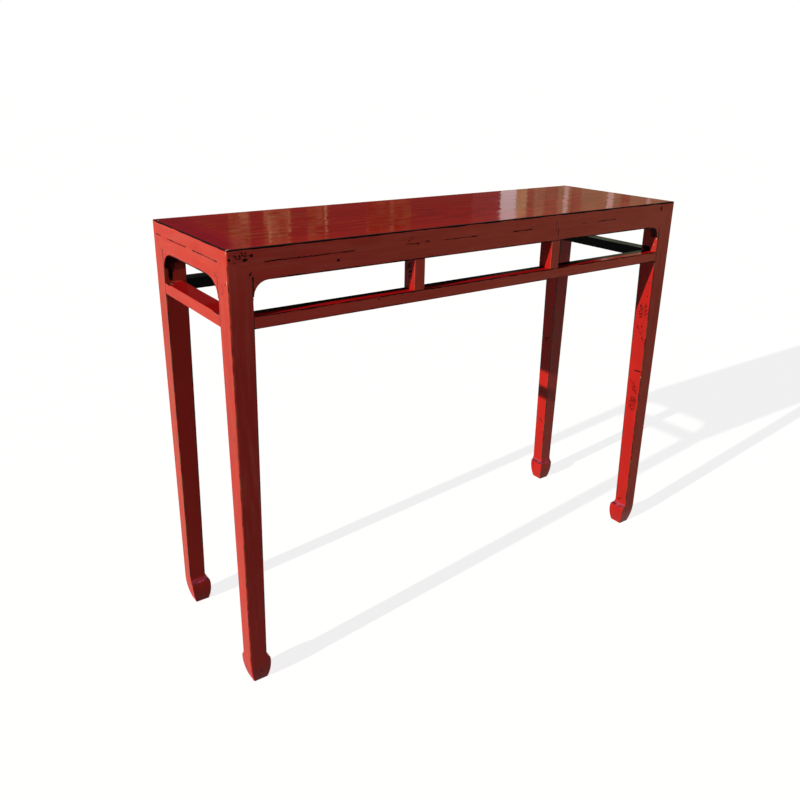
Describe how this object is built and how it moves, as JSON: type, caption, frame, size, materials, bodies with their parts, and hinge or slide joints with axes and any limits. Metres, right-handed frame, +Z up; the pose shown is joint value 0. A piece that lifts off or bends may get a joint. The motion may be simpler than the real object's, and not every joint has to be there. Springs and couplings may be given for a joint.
{
  "type": "altar table",
  "caption": "Narrow flush-sided side table in old red lacquer, with drop-eared aprons, a low stretcher ring, short front struts and tapered legs with hoof feet.",
  "frame": {"origin": "on the floor under the middle of the table", "axes": "+X along the length, +Y from the front to the back, +Z up"},
  "size_m": [1.112, 0.346, 0.85],
  "materials": {
    "red_lacquer_top": "dark red lacquer, worn glossy, with a black worn edge",
    "red_lacquer": "old red lacquer over a black undercoat, satin, rubbed at the edges",
    "black_undercoat": "thin black undercoat, matt",
    "bare_wood": "bare softwood"
  },
  "bodies": {
    "root": {"top_frame_front": "red_lacquer_top", "top_frame_back": "red_lacquer_top", "top_frame_left": "red_lacquer_top", "top_frame_right": "red_lacquer_top", "top_board_front": "red_lacquer_top", "top_board_back": "red_lacquer_top", "apron_front": "red_lacquer", "apron_back": "red_lacquer", "apron_left": "red_lacquer", "apron_right": "red_lacquer", "stretcher_front": "red_lacquer", "stretcher_back": "red_lacquer", "stretcher_left": "red_lacquer", "stretcher_right": "red_lacquer", "strut_front_left": "red_lacquer", "strut_front_right": "red_lacquer", "leg_front_left": "red_lacquer", "leg_front_right": "red_lacquer", "leg_back_left": "red_lacquer", "leg_back_right": "red_lacquer", "batten_left": "black_undercoat", "batten_middle": "black_undercoat", "batten_right": "black_undercoat", "loose_tenons": "bare_wood"}
  },
  "joints": []
}
